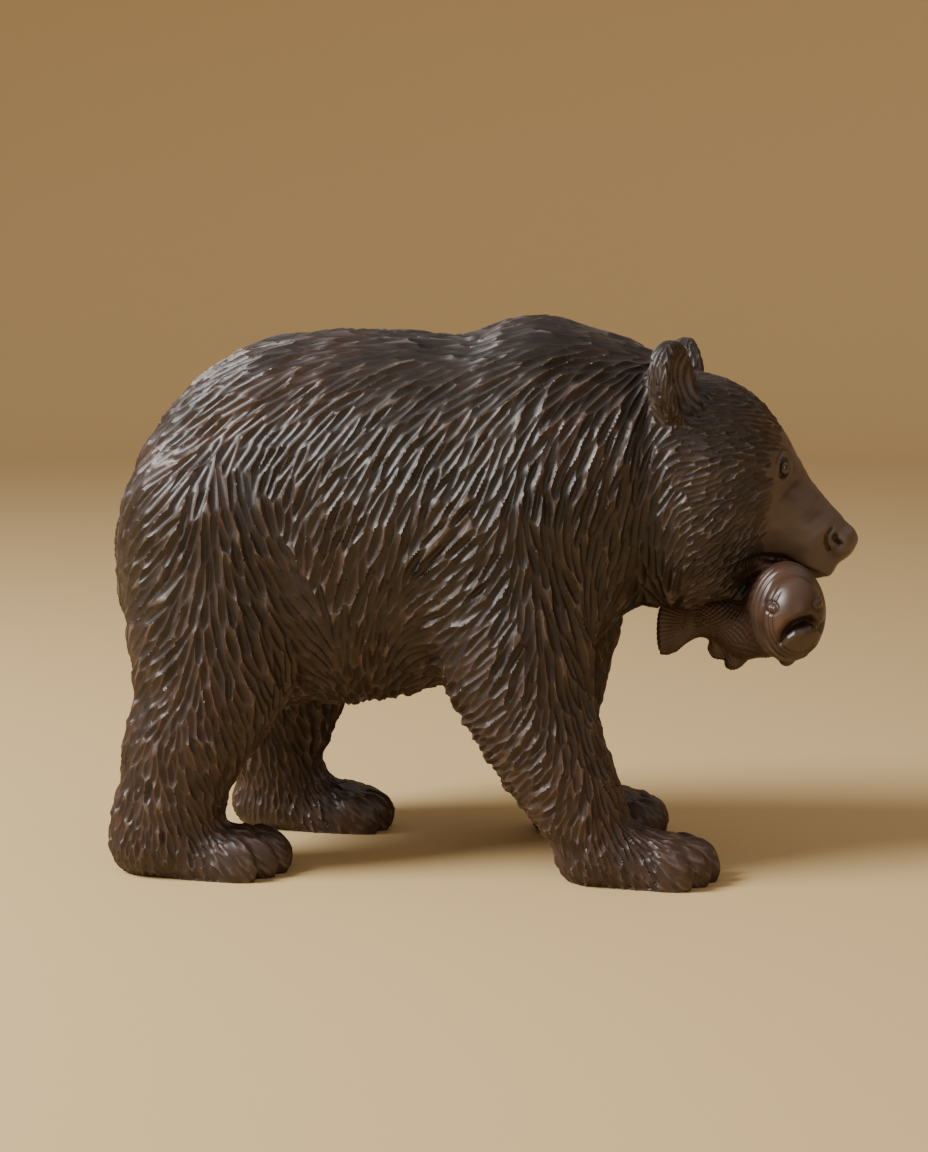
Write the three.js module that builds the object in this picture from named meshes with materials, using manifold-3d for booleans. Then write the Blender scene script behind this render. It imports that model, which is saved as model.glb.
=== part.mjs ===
// A table-size carved wooden bear, walking, with a salmon held crosswise in its mouth.
// Bear and fish are cut from one block, so the carving is one solid that rests on four flat soles.
//
// Millimetres. +X is the way the bear walks, +Y its left side, +Z up.
// The origin is under the middle of the carving, on the surface that the soles stand on.
//
// The body is a field: every limb is a lofted round form or an ellipsoid, and the forms are blended
// into each other with a fillet. The field is zero on the surface and negative inside. A net is
// drawn over the zero surface, thinned where the form is flat, and the soles are then cut level.

import * as THREE from 'three';
import Module from 'manifold-3d';
import { mergeVertices } from 'three/addons/utils/BufferGeometryUtils.js';

// ---- driving dimensions -------------------------------------------------------------------

const NET_STEP = 2.8;          // spacing of the net that is drawn over the surface
const TRIANGLES = 9400;        // facets kept after thinning
const WOOD = { color: 0x3b2a20, roughness: 0.48, metalness: 0 };

// Trunk from rump to neck: X, half width, underside height, back height.
const TRUNK = [
  [-104, 68, 88, 282], [-80, 73, 82, 287], [-40, 74.5, 87, 287], [-8, 73, 97, 285],
  [14, 72, 101, 292.5], [32, 70, 105, 295.5], [56, 65, 112, 289], [76, 58, 131, 283.5],
  [96, 50, 141, 275.5],
];
const TRUNK_CAPS = [60, 26];   // how far the rounded ends reach past the first and last section
const RUMP = { at: [-111, 0, 180], radii: [86, 68, 109], lean: 27, fillet: 8 };

// Legs from sole to hip or shoulder: Z, centre X, centre Y, half length, half width.
const LEGS = {
  rightHind: [
    [16, -165, -57, 29.5, 24.5], [32, -163, -56, 31, 25], [50, -158, -55, 31.5, 26],
    [71, -150, -53, 38, 29], [94, -141, -49, 42, 32], [126, -141, -44, 46, 35],
    [180, -144, -38, 46, 37]],
  leftHind: [
    [14, -121, 57, 27, 23.5], [24, -119, 56, 28, 24], [38, -124, 54, 28.5, 25],
    [56, -122, 53, 33, 27], [80, -119, 50, 38, 31], [120, -124, 45, 44, 35],
    [180, -130, 38, 46, 37]],
  rightFore: [
    [12, 69, -56, 23, 22], [24, 61, -55, 25, 23], [42, 50.5, -54, 30, 25],
    [68, 37, -51, 34.5, 28.5], [96, 24.5, -48, 39.5, 31], [128, 20, -45, 42.5, 33],
    [180, 15, -38, 44, 36]],
  leftFore: [
    [12, 46, 56, 22, 22], [24, 43, 55, 23, 23], [44, 38, 53, 25.5, 24],
    [66, 36, 51, 27.5, 26.5], [90, 37, 49, 31, 30], [124, 41, 45, 35.5, 33],
    [180, 44, 38, 40, 36]],
};
const LEG_CAPS = [16, 46];
const LEG_FILLET = 14;

// Paws: heel X, toe X, centre Y, and which side is the outer one.
const PAWS = [
  { heel: -194, toe: -97.5, y: -57, outer: -1 }, { heel: -150, toe: -55, y: 56, outer: 1 },
  { heel: 42, toe: 130, y: -56, outer: -1 }, { heel: 22, toe: 103, y: 56, outer: 1 },
];
const TOES = { setBack: [15, 6, 1, 1.5, 7], spread: 9.75, fan: 4.5, radii: [14.5, 6, 14.5], fillet: 2.2 };
const PAW_FILLET = 7;

// Head, in a frame at the nape that is turned a little to the bear's right.
const NAPE = [92, 0, 200];
const HEAD_TURN = -6;
const SKULL = { at: [17.5, 0, 6], radii: [59, 50, 59.5] };
const CHEEK = { at: [15, 11, -19], radii: [43, 38, 43], fillet: 12 };
const MUZZLE = {               // along its own axis: distance, Y, Z, half width, half height
  at: [54, 0, -4], droop: 32, caps: [20, 8], fillet: 7,
  rows: [[-8, 0, 0.5, 31, 35.5], [8, 0, 1.5, 26.5, 30], [24, 0, 1.5, 21.5, 23],
    [38, 0, 3.5, 17.8, 17], [51, 0, 7, 13.5, 10]],
};
const JAW = {
  at: [30, 0, -37], droop: 42, caps: [20, 9], fillet: 5,
  rows: [[0, 0, 0, 25, 22], [22, 0, 0, 17, 14], [44, 0, -4, 12.5, 11], [56, 0, -5, 10.5, 9]],
};
const LIP = { at: [76, 0, -27.5], droop: 37, radii: [25, 16, 11.5], fillet: 10 };
const PALATE = { at: [60, 0, -37], radii: [23, 17, 9], fillet: 3 };
const EYE_HOLLOW = { at: [86, 27, 11], radii: [17, 13, 17], fillet: 4 };
const EAR = {
  at: [15.5, 38, 60.5], turn: 21, tip: 6, splay: 12, radii: [13, 17.5, 22.5], face: 5.5,
  cup: { at: [8.5, 0, -0.5], radii: [11.5, 12.5, 17.5] },
};
const NECK_FILLET = 8;

// Salmon: head and body along Y, tail along X, tucked under the cheek. Position, the two centres,
// the two radii.
const FISH_BODY = [
  [-62, 165, 141, 16, 22], [-50, 163.5, 142, 19, 25.5], [-37, 161.5, 142, 19, 25],
  [-27, 158, 139, 17, 22.5],
];
const FISH_TAIL = [
  [98, -11, 126.5, 2.8, 14], [105, -12, 127.5, 3.3, 13.5], [112, -13, 131, 4.3, 11],
  [118, -14, 133, 6, 10], [125, -14.5, 133, 8.5, 11.8], [133, -15.5, 129.5, 11, 15],
  [142, -18, 129, 13.5, 17], [152, -22, 134, 16, 20],
];
const FINS = [                 // centre, radii, slope of the fin in the XZ plane
  { at: [138, -17, 113], radii: [5.5, 3.4, 8], slope: 40 },
  { at: [128, -15, 117], radii: [6, 3.4, 5.5], slope: 50 },
  { at: [163, -44, 119], radii: [5, 3.4, 6], slope: 0 },
];

// ---- field building blocks ----------------------------------------------------------------

const rad = THREE.MathUtils.degToRad;

/** Signed distance measure of a round form: q is the offset divided by the radii r. */
function roundness(q0, q1, q2, r0, r1, r2) {
  const k0 = Math.sqrt(q0 * q0 + q1 * q1 + q2 * q2 + 1e-12);
  const k1 = Math.hypot(q0 / r0, q1 / r1, q2 / r2) + 1e-8;
  return k0 * (k0 - 1) / k1;
}

function ellipsoid(p, c, r) {
  return roundness((p[0] - c[0]) / r[0], (p[1] - c[1]) / r[1], (p[2] - c[2]) / r[2], ...r);
}

/** Smooth curve through rows of [station, value, value...], level at both ends. */
function makeCurve(rows) {
  const last = rows.length - 1;
  const slope = rows.map((row, i) => row.map((value, j) => {
    if (j === 0 || i === 0 || i === last) return 0;
    const [a, b, c] = [rows[i - 1], row, rows[i + 1]];
    const [ha, hc] = [b[0] - a[0], c[0] - b[0]];
    return ((b[j] - a[j]) / ha * hc + (c[j] - b[j]) / hc * ha) / (ha + hc);
  }));
  const out = new Float64Array(4);
  return (s) => {
    let i = 0;
    while (i < last - 1 && s >= rows[i + 1][0]) i++;
    const d = rows[i + 1][0] - rows[i][0];
    const t = (s - rows[i][0]) / d;
    const h1 = t * t * (3 - 2 * t);
    const g0 = t * (1 - t) * (1 - t) * d;
    const g1 = t * t * (t - 1) * d;
    for (let j = 1; j < 5; j++) {
      out[j - 1] = (1 - h1) * rows[i][j] + h1 * rows[i + 1][j] + g0 * slope[i][j] + g1 * slope[i + 1][j];
    }
    return out;
  };
}

/** Round form lofted along one axis, closed by half ellipsoids of the given reach. */
function makeLoft(axis, rows, caps) {
  const [a, b] = [0, 1, 2].filter((i) => i !== axis);
  const curve = makeCurve(rows);
  const [start, end] = [rows[0][0], rows[rows.length - 1][0]];
  return (p) => {
    const s = Math.min(Math.max(p[axis], start), end);
    const c = curve(s);
    const cap = p[axis] < s ? caps[0] : caps[1];
    return roundness((p[axis] - s) / cap, (p[a] - c[0]) / c[2], (p[b] - c[1]) / c[3], cap, c[2], c[3]);
  };
}

/** Union with a fillet of about k. */
function blend(a, b, k) {
  const h = Math.min(Math.max(0.5 + 0.5 * (b - a) / k, 0), 1);
  return b + (a - b) * h - k * h * (1 - h);
}

/** What is left of a where it is inside b too, with the edge rounded by about k. */
function trim(a, b, k) {
  return -blend(-a, -b, k);
}

/** Coordinates of p in a frame at origin: turned about Z, then nose down, then rolled about X. */
function makeFrame(origin, turn = 0, droop = 0, roll = 0) {
  const euler = new THREE.Euler(rad(roll), rad(droop), rad(turn), 'ZYX');
  const m = new THREE.Matrix4().makeRotationFromEuler(euler).setPosition(...origin).invert().elements;
  return (p) => [
    m[0] * p[0] + m[4] * p[1] + m[8] * p[2] + m[12],
    m[1] * p[0] + m[5] * p[1] + m[9] * p[2] + m[13],
    m[2] * p[0] + m[6] * p[1] + m[10] * p[2] + m[14],
  ];
}

// ---- the bear's forms ---------------------------------------------------------------------

function makePaw({ heel, toe, y, outer }) {
  const middle = (heel + toe) / 2;
  const pad = makeLoft(0, [[heel + 22, y, 14, 21, 19], [middle, y, 8, 23.5, 22], [toe - 27, y, 5, 25, 21]],
    [21, 15]);
  const toes = TOES.setBack.map((back, i) => {
    const place = 2 - i;       // 2 is the outer toe, -2 the inner one
    return makeFrame([toe - back - 13, y + outer * place * TOES.spread, 7.5], outer * place * TOES.fan);
  });
  return (p) => {
    let d = pad(p);
    for (const frame of toes) d = blend(d, ellipsoid(frame(p), [0, 0, 0], TOES.radii), TOES.fillet);
    return d;
  };
}

function makeHead() {
  const head = makeFrame(NAPE, HEAD_TURN);
  const muzzleFrame = makeFrame(MUZZLE.at, 0, MUZZLE.droop);
  const muzzle = makeLoft(0, MUZZLE.rows, MUZZLE.caps);
  const jawFrame = makeFrame(JAW.at, 0, JAW.droop);
  const jaw = makeLoft(0, JAW.rows, JAW.caps);
  const lipFrame = makeFrame(LIP.at, 0, LIP.droop);
  const earFrame = makeFrame(EAR.at, EAR.turn, -EAR.tip, -EAR.splay);
  return (point) => {
    const p = head(point);
    p[1] = Math.abs(p[1]);
    let d = ellipsoid(p, SKULL.at, SKULL.radii);
    d = blend(d, ellipsoid(p, CHEEK.at, CHEEK.radii), CHEEK.fillet);
    d = blend(d, muzzle(muzzleFrame(p)), MUZZLE.fillet);
    d = blend(d, jaw(jawFrame(p)), JAW.fillet);
    d = blend(d, ellipsoid(lipFrame(p), [0, 0, 0], LIP.radii), LIP.fillet);
    d = blend(d, ellipsoid(p, PALATE.at, PALATE.radii), PALATE.fillet);
    d = trim(d, -ellipsoid(p, EYE_HOLLOW.at, EYE_HOLLOW.radii), EYE_HOLLOW.fillet);
    const e = earFrame(p);
    d = blend(d, trim(ellipsoid(e, [0, 0, 0], EAR.radii), e[0] - EAR.face, 3), 4);
    return trim(d, -ellipsoid(e, EAR.cup.at, EAR.cup.radii), 2.2);
  };
}

function makeSalmon() {
  const body = makeLoft(1, FISH_BODY, [17, 14]);
  const tail = makeLoft(0, FISH_TAIL, [3, 10]);
  const fins = FINS.map(({ at, radii, slope }) => ({ frame: makeFrame(at, 0, slope), radii }));
  return (p) => {
    let d = blend(body(p), tail(p), 6);
    for (const { frame, radii } of fins) d = blend(d, ellipsoid(frame(p), [0, 0, 0], radii), 3);
    return d;
  };
}

function makeBear() {
  const trunk = makeLoft(0, TRUNK.map(([x, w, low, top]) => [x, 0, (low + top) / 2, w, (top - low) / 2]),
    TRUNK_CAPS);
  const rump = makeFrame(RUMP.at, 0, RUMP.lean);
  const legs = Object.values(LEGS).map((rows) => makeLoft(2, rows, LEG_CAPS));
  const paws = PAWS.map(makePaw);
  const head = makeHead();
  const salmon = makeSalmon();
  return (p) => {
    let d = blend(trunk(p), ellipsoid(rump(p), [0, 0, 0], RUMP.radii), RUMP.fillet);
    for (const leg of legs) d = blend(d, leg(p), LEG_FILLET);
    d = blend(d, head(p), NECK_FILLET);
    for (const paw of paws) d = blend(d, paw(p), PAW_FILLET);
    return blend(d, salmon(p), 1.5);
  };
}

// ---- net over the zero surface ------------------------------------------------------------

/** Fills each slot narrower than the grid, so that no edge of the net has four faces. */
function closeSlots(value, n, stride) {
  const fill = (corners) => {
    const open = corners.filter((at) => value[at] >= 0);
    value[open.reduce((a, b) => (value[b] < value[a] ? b : a))] = -1e-3;
  };
  for (let changed = true; changed;) {
    changed = false;
    for (let at = 0; at < value.length - stride[2] - stride[1] - 1; at++) {
      for (let axis = 0; axis < 3; axis++) {
        const [sb, sc] = [stride[(axis + 1) % 3], stride[(axis + 2) % 3]];
        const face = [at, at + sb, at + sb + sc, at + sc];
        const [a, b, c, d] = face.map((corner) => value[corner] < 0);
        if (a === c && b === d && a !== b) {
          fill(face);
          changed = true;
        }
      }
      for (const [from, x, y, z] of [[0, 1, 1, 1], [1, -1, 1, 1], [stride[1], 1, -1, 1], [stride[2], 1, 1, -1]]) {
        const first = at + from;
        const last = first + x + y * stride[1] + z * stride[2];
        if (value[first] < 0 !== value[last] < 0) continue;
        const corners = [0, 1, 2, 3, 4, 5, 6, 7].map(
          (bits) => at + (bits & 1) + (bits >> 1 & 1) * stride[1] + (bits >> 2) * stride[2]);
        const same = corners.filter((corner) => value[corner] < 0 === value[first] < 0);
        if (same.length === 2) {
          fill(corners);
          changed = true;
        }
      }
    }
  }
}

/** One vertex in each grid cell that the surface crosses, one quad at each edge it crosses. */
function drawNet(field, low, high, step) {
  const n = low.map((v, i) => Math.ceil((high[i] - v) / step) + 1);
  const stride = [1, n[0], n[0] * n[1]];
  const value = new Float32Array(n[0] * n[1] * n[2]);
  const p = [0, 0, 0];
  for (let k = 0, at = 0; k < n[2]; k++) {
    for (let j = 0; j < n[1]; j++) {
      for (let i = 0; i < n[0];) {
        p[0] = low[0] + i * step; p[1] = low[1] + j * step; p[2] = low[2] + k * step;
        const d = field(p);
        // No surface is nearer than about d, so the next few points of the row take the same value.
        const clear = Math.min(1 + Math.floor(Math.abs(d) / (2.2 * step)), n[0] - i);
        for (let m = 0; m < clear; m++) value[at++] = d;
        i += clear;
      }
    }
  }
  closeSlots(value, n, stride);
  const vertexOf = new Int32Array(value.length).fill(-1);
  const points = [];
  for (let k = 0; k < n[2] - 1; k++) {
    for (let j = 0; j < n[1] - 1; j++) {
      for (let i = 0; i < n[0] - 1; i++) {
        const at = i + j * stride[1] + k * stride[2];
        const sum = [0, 0, 0];
        let crossings = 0;
        for (let axis = 0; axis < 3; axis++) {
          const [b, c] = [(axis + 1) % 3, (axis + 2) % 3];
          for (let side = 0; side < 4; side++) {
            const from = at + (side & 1) * stride[b] + (side >> 1) * stride[c];
            const [v0, v1] = [value[from], value[from + stride[axis]]];
            if (v0 < 0 === v1 < 0) continue;
            sum[axis] += v0 / (v0 - v1); sum[b] += side & 1; sum[c] += side >> 1;
            crossings++;
          }
        }
        if (crossings === 0) continue;
        vertexOf[at] = points.length;
        points.push([i, j, k].map((cell, a) => low[a] + (cell + sum[a] / crossings) * step));
      }
    }
  }
  const triangles = [];
  for (let k = 1; k < n[2] - 1; k++) {
    for (let j = 1; j < n[1] - 1; j++) {
      for (let i = 1; i < n[0] - 1; i++) {
        const at = i + j * stride[1] + k * stride[2];
        for (let axis = 0; axis < 3; axis++) {
          const inside = value[at] < 0;
          if (inside === value[at + stride[axis]] < 0) continue;
          const [sb, sc] = [stride[(axis + 1) % 3], stride[(axis + 2) % 3]];
          const quad = [at - sb - sc, at - sc, at, at - sb].map((cell) => vertexOf[cell]);
          if (!inside) quad.reverse();
          triangles.push([quad[0], quad[1], quad[2]], [quad[0], quad[2], quad[3]]);
        }
      }
    }
  }
  return { points, triangles };
}

/** Moves each vertex onto the zero surface along the field's slope. */
function settle(points, field) {
  const e = 0.2;
  for (const p of points) {
    const d = field(p);
    const g = [0, 1, 2].map((i) => {
      const q = [...p];
      q[i] += e;
      return (field(q) - d) / e;
    });
    const scale = THREE.MathUtils.clamp(d / Math.max(g[0] ** 2 + g[1] ** 2 + g[2] ** 2, 0.1), -1.2, 1.2);
    for (let i = 0; i < 3; i++) p[i] -= g[i] * scale;
  }
}

// ---- thinning -----------------------------------------------------------------------------

const sub = (a, b) => [a[0] - b[0], a[1] - b[1], a[2] - b[2]];
const cross = (a, b) => [a[1] * b[2] - a[2] * b[1], a[2] * b[0] - a[0] * b[2], a[0] * b[1] - a[1] * b[0]];
const dot = (a, b) => a[0] * b[0] + a[1] * b[1] + a[2] * b[2];

/** Sum of squared distances from p to the planes gathered in q. */
function planeError(q, [x, y, z]) {
  return q[0] * x * x + 2 * q[1] * x * y + 2 * q[2] * x * z + 2 * q[3] * x + q[4] * y * y
    + 2 * q[5] * y * z + 2 * q[6] * y + q[7] * z * z + 2 * q[8] * z + q[9];
}

/** The point with the least plane error, or the middle of the edge where that isn't sharp. */
function bestPoint(q, a, b) {
  const middle = a.map((v, i) => (v + b[i]) / 2);
  const m = new THREE.Matrix3().set(q[0], q[1], q[2], q[1], q[4], q[5], q[2], q[5], q[7]);
  const size = (q[0] + q[4] + q[7]) / 3;
  if (m.determinant() < 1e-3 * size ** 3) return middle;
  const v = new THREE.Vector3(-q[3], -q[6], -q[8]).applyMatrix3(m.invert());
  const best = [v.x, v.y, v.z];
  const reach = dot(sub(a, b), sub(a, b));
  return dot(sub(best, middle), sub(best, middle)) > reach ? middle : best;
}

/** Collapses the edges that matter least until the wanted number of triangles is left. */
function thin({ points, triangles }, wanted) {
  const around = points.map(() => new Set());
  const quadric = points.map(() => new Float64Array(10));
  triangles.forEach((t, index) => {
    const [a, b, c] = t.map((v) => points[v]);
    const n = cross(sub(b, a), sub(c, a));
    const area = Math.hypot(...n) || 1e-9;
    const [x, y, z] = n.map((v) => v / area);
    const w = -(x * a[0] + y * a[1] + z * a[2]);
    const plane = [x * x, x * y, x * z, x * w, y * y, y * z, y * w, z * z, z * w, w * w];
    for (const v of t) {
      around[v].add(index);
      for (let i = 0; i < 10; i++) quadric[v][i] += plane[i] * area;
    }
  });
  const stamp = new Int32Array(points.length);
  const heap = [];
  const swap = (i, j) => { [heap[i], heap[j]] = [heap[j], heap[i]]; };
  const push = (item) => {
    let i = heap.push(item) - 1;
    for (; i > 0 && heap[(i - 1) >> 1].cost > heap[i].cost; i = (i - 1) >> 1) swap(i, (i - 1) >> 1);
  };
  const pop = () => {
    const top = heap[0];
    const end = heap.pop();
    if (heap.length > 0) {
      heap[0] = end;
      for (let i = 0; ;) {
        let least = i;
        for (const child of [2 * i + 1, 2 * i + 2]) {
          if (child < heap.length && heap[child].cost < heap[least].cost) least = child;
        }
        if (least === i) break;
        swap(i, least);
        i = least;
      }
    }
    return top;
  };
  const neighbours = (v) => {
    const found = new Set();
    for (const t of around[v]) for (const u of triangles[t]) if (u !== v) found.add(u);
    return found;
  };
  const offer = (u, v) => {
    const q = quadric[u].map((value, i) => value + quadric[v][i]);
    const at = bestPoint(q, points[u], points[v]);
    const length = dot(sub(points[u], points[v]), sub(points[u], points[v]));
    push({ u, v, q, at, cost: planeError(q, at) + 2e-4 * length, su: stamp[u], sv: stamp[v] });
  };
  points.forEach((_, u) => { for (const v of neighbours(u)) if (u < v) offer(u, v); });

  const keepsShape = (v, other, at) => {
    for (const t of around[v]) {
      if (triangles[t].includes(other)) continue;
      const old = triangles[t].map((i) => points[i]);
      const now = triangles[t].map((i) => (i === v ? at : points[i]));
      const [n0, n1] = [old, now].map(([a, b, c]) => cross(sub(b, a), sub(c, a)));
      const [l0, l1] = [Math.hypot(...n0), Math.hypot(...n1)];
      if (l1 < 0.05 || dot(n0, n1) < 0.35 * l0 * l1) return false;
      const longest = Math.max(...now.map((p, i) => dot(sub(p, now[(i + 1) % 3]), sub(p, now[(i + 1) % 3]))));
      if (l1 < 0.12 * longest) return false;
    }
    return true;
  };
  let left = triangles.length;
  while (left > wanted && heap.length > 0) {
    const { u, v, q, at, su, sv } = pop();
    if (stamp[u] !== su || stamp[v] !== sv) continue;
    const [nu, nv] = [neighbours(u), neighbours(v)];
    if ([...nu].filter((w) => nv.has(w)).length !== 2) continue;
    if (!keepsShape(u, v, at) || !keepsShape(v, u, at)) continue;
    for (const t of around[v]) {
      if (triangles[t].includes(u)) {
        for (const w of triangles[t]) if (w !== v) around[w].delete(t);
        triangles[t] = null;
        left--;
      } else {
        triangles[t] = triangles[t].map((w) => (w === v ? u : w));
        around[u].add(t);
      }
    }
    around[v].clear();
    points[u] = at;
    quadric[u] = q;
    stamp[u]++;
    stamp[v] = -1;
    for (const w of neighbours(u)) offer(u, w);
  }
  return { points, triangles: triangles.filter(Boolean) };
}

// ---- solids -------------------------------------------------------------------------------

const wasm = await Module();
wasm.setup();

function toGeometry(points, triangles) {
  const geometry = new THREE.BufferGeometry();
  geometry.setAttribute('position', new THREE.Float32BufferAttribute(points.flat(), 3));
  geometry.setIndex(triangles.flat());
  return geometry;
}

function toSolid(geometry) {
  const bare = geometry.clone();
  for (const name of ['normal', 'uv']) bare.deleteAttribute(name);
  const merged = mergeVertices(bare, 1e-4);
  return new wasm.Manifold(new wasm.Mesh({
    numProp: 3,
    vertProperties: new Float32Array(merged.attributes.position.array),
    triVerts: new Uint32Array(merged.index.array),
  }));
}

function fromSolid(solid) {
  const mesh = solid.getMesh();
  const geometry = new THREE.BufferGeometry();
  geometry.setAttribute('position', new THREE.BufferAttribute(new Float32Array(mesh.vertProperties), 3));
  geometry.setIndex(new THREE.BufferAttribute(new Uint32Array(mesh.triVerts), 1));
  const merged = mergeVertices(geometry, 2e-3);
  merged.computeVertexNormals();
  return merged;
}

// The net covers the whole carving and a little below the soles.
const LOW = [-216, -96, -26];
const HIGH = [212, 96, 306];

const bear = makeBear();
const net = drawNet(bear, LOW, HIGH, NET_STEP);
settle(net.points, bear);
settle(net.points, bear);
const thinned = thin(net, TRIANGLES);

// Everything under the standing surface is cut away, which leaves the four flat soles.
const ground = new THREE.BoxGeometry(600, 300, 60);
ground.translate(0, 0, -30);
const carving = fromSolid(toSolid(toGeometry(thinned.points, thinned.triangles)).subtract(toSolid(ground)));
carving.computeBoundingBox();
const middle = carving.boundingBox.getCenter(new THREE.Vector3());
carving.translate(-middle.x, -middle.y, 0);

const mesh = new THREE.Mesh(carving, new THREE.MeshStandardMaterial(WOOD));
mesh.name = 'carved_bear';

const group = new THREE.Group();
group.add(mesh);
export default group;
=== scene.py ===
"""A carved wooden bear with a salmon in its mouth, laid out as a Blender add-on.

The bear is a field of blended round forms. A net is drawn over the field's zero surface, every
gouge cut of the coat is scooped out of it, and the net is thinned to the wanted number of faces.
The salmon is a field too, with its scales, gill covers and mouth worked into its net. Lengths in
the fields are millimetres in the carving's own frame. The meshes are metres in the CAD frame.
"""

import math

import numpy as np

import bpy
from mathutils import Matrix, Vector


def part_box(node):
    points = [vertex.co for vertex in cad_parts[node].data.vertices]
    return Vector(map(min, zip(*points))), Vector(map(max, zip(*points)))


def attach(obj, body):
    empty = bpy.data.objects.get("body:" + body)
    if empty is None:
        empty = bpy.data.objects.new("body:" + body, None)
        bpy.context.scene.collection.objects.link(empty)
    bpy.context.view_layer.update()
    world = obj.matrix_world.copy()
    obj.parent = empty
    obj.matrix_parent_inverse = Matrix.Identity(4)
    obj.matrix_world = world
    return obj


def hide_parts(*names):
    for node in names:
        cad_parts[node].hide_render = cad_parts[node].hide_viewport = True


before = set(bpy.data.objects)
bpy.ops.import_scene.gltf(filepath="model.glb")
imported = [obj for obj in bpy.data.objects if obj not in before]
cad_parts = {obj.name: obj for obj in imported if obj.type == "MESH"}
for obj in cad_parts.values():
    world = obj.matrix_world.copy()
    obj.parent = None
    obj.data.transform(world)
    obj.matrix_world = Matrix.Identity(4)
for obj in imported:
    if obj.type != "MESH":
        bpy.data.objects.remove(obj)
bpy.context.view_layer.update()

bl_info = {
    "name": "Carved Bear",
    "version": (1, 0, 0),
    "blender": (4, 5, 0),
    "location": "View3D > Sidebar > Carving",
    "description": "A gouge-cut wooden bear with a salmon in its mouth",
    "category": "Add Mesh",
}

MM = 0.001
NODE = "carved_bear"
FORM_MIDDLE = (-0.69, -0.427)      # middle of the carving's box in its own millimetres
CAMERA_AT, CAMERA_AZIMUTH, CAMERA_PITCH = (99.2, -1246.1, 310.0), 5.0, 7.15
LIGHT_AIM = (0, 0, 0.14)

# ---- the carving's sizes, in millimetres ---------------------------------------------------

# Trunk from rump to neck: X, half width, underside height, back height.
TRUNK = [
    (-104, 68, 88, 282), (-80, 73, 82, 287), (-40, 74.5, 87, 287), (-8, 73, 97, 285),
    (14, 72, 101, 292.5), (32, 70, 105, 295.5), (56, 65, 112, 289), (76, 58, 131, 283.5),
    (96, 50, 141, 275.5)]
TRUNK_CAPS = (60, 26)
RUMP = {"at": (-111, 0, 180), "radii": (86, 68, 109), "lean": 27, "fillet": 8}

# Legs from sole to hip or shoulder: Z, centre X, centre Y, half length, half width.
LEGS = {
    "right_hind": [
        (16, -165, -57, 29.5, 24.5), (32, -163, -56, 31, 25), (50, -158, -55, 31.5, 26),
        (71, -150, -53, 38, 29), (94, -141, -49, 42, 32), (126, -141, -44, 46, 35),
        (180, -144, -38, 46, 37)],
    "left_hind": [
        (14, -121, 57, 27, 23.5), (24, -119, 56, 28, 24), (38, -124, 54, 28.5, 25),
        (56, -122, 53, 33, 27), (80, -119, 50, 38, 31), (120, -124, 45, 44, 35),
        (180, -130, 38, 46, 37)],
    "right_fore": [
        (12, 69, -56, 23, 22), (24, 61, -55, 25, 23), (42, 50.5, -54, 30, 25),
        (68, 37, -51, 34.5, 28.5), (96, 24.5, -48, 39.5, 31), (128, 20, -45, 42.5, 33),
        (180, 15, -38, 44, 36)],
    "left_fore": [
        (12, 46, 56, 22, 22), (24, 43, 55, 23, 23), (44, 38, 53, 25.5, 24),
        (66, 36, 51, 27.5, 26.5), (90, 37, 49, 31, 30), (124, 41, 45, 35.5, 33),
        (180, 44, 38, 40, 36)],
}
LEG_CAPS = (16, 46)
LEG_FILLET = 14

# Paws: heel X, toe X, centre Y, and the side of the outer toe.
PAWS = {
    "right_hind": (-194, -97.5, -57, -1), "left_hind": (-150, -55, 56, 1),
    "right_fore": (42, 130, -56, -1), "left_fore": (22, 103, 56, 1)}
TOE_SET_BACK = (15, 6, 1, 1.5, 7)
TOE_SPREAD, TOE_FAN, TOE_RADII = 9.75, 4.5, (14.5, 6, 14.5)
PAW_FILLET, TOE_FILLET, TOE_BACK, TOE_Z = 7, 2.2, 13, 7.5
# Pad of a paw at its heel, middle and toes: shift in X, centre Z, half width, half height.
PAD = [(22, 14, 21, 19), (0, 8, 23.5, 22), (-27, 5, 25, 21)]
PAD_CAPS = (21, 15)

# Head, in a frame at the nape that is turned a little to the bear's right.
NAPE, HEAD_TURN = (92, 0, 200), -6
SKULL = ((17.5, 0, 6), (59, 50, 59.5))
CHEEK, CHEEK_FILLET = ((15, 11, -19), (43, 38, 43)), 12
MUZZLE_AT, MUZZLE_DROOP, MUZZLE_CAPS, MUZZLE_FILLET = (54, 0, -4), 32, (20, 8), 7
MUZZLE = [
    (-8, 0, 0.5, 31, 35.5), (8, 0, 1.5, 26.5, 30), (24, 0, 1.5, 21.5, 23), (38, 0, 3.5, 17.8, 17),
    (51, 0, 7, 13.5, 10)]
JAW_AT, JAW_DROOP, JAW_CAPS, JAW_FILLET = (30, 0, -37), 42, (20, 9), 5
JAW = [(0, 0, 0, 25, 22), (22, 0, 0, 17, 14), (44, 0, -4, 12.5, 11), (56, 0, -5, 10.5, 9)]
LIP_AT, LIP_DROOP, LIP_RADII, LIP_FILLET = (76, 0, -27.5), 37, (25, 16, 11.5), 10
PALATE, PALATE_FILLET = ((60, 0, -37), (23, 17, 9)), 3
EYE_HOLLOW, EYE_HOLLOW_FILLET = ((86, 27, 11), (17, 13, 17)), 4
EAR_AT, EAR_TURN, EAR_TIP, EAR_SPLAY = (15.5, 38, 60.5), 21, 6, 12
EAR_RADII, EAR_FACE, EAR_RIM_FILLET, EAR_FILLET = (13, 17.5, 22.5), 5.5, 3, 4
EAR_CUP, EAR_CUP_FILLET = ((8.5, 0, -0.5), (11.5, 12.5, 17.5)), 2.2
EYE_AT, EYE_TURN, EYE_SINK, EYE_RADII = (73, 21.5, 15), 52, 2.9, (2.7, 2.9, 3.6)
NECK_FILLET, SOLE_EDGE = 8, 0.8

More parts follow.
